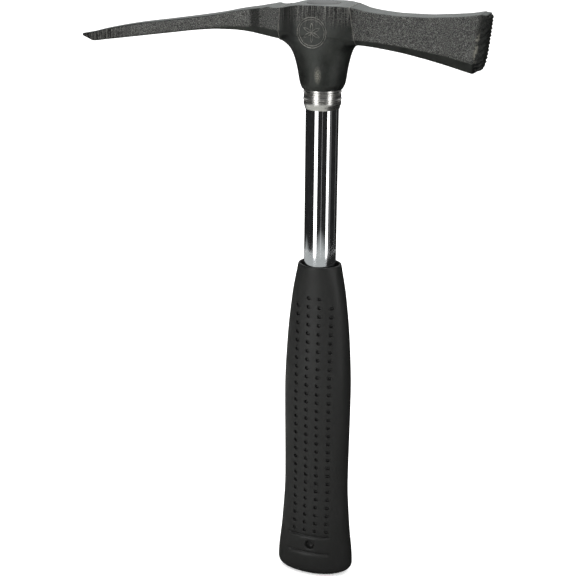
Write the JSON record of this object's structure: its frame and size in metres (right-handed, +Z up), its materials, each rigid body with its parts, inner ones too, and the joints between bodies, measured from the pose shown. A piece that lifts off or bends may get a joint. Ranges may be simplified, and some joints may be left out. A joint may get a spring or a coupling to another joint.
{
  "type": "pick hammer",
  "caption": "Rock hammer with a slim pick opposite a toothed poll, on a round steel tube handle with a dimpled grip; shown standing on its butt.",
  "frame": {"origin": "centre of the flat butt end of the grip, on the handle's axis", "axes": "+Z up along the handle to the head, +X towards the toothed poll, +Y towards the back, so the pick points along -X"},
  "size_m": [0.2115, 0.0248, 0.31],
  "materials": {
    "forged_steel": "blasted dark forged steel with a thin grey lacquer",
    "chromed_tube": "bright chrome",
    "ring_steel": "turned and brushed",
    "plug_steel": "ground",
    "black_grip": "soft satin black",
    "plug_plastic": "matte"
  },
  "bodies": {
    "root": {"head": "forged_steel", "handle_tube": "chromed_tube", "collar_ring": "ring_steel", "expansion_plug": "plug_steel", "grip": "black_grip", "tube_end_plug": "plug_plastic"}
  },
  "joints": []
}
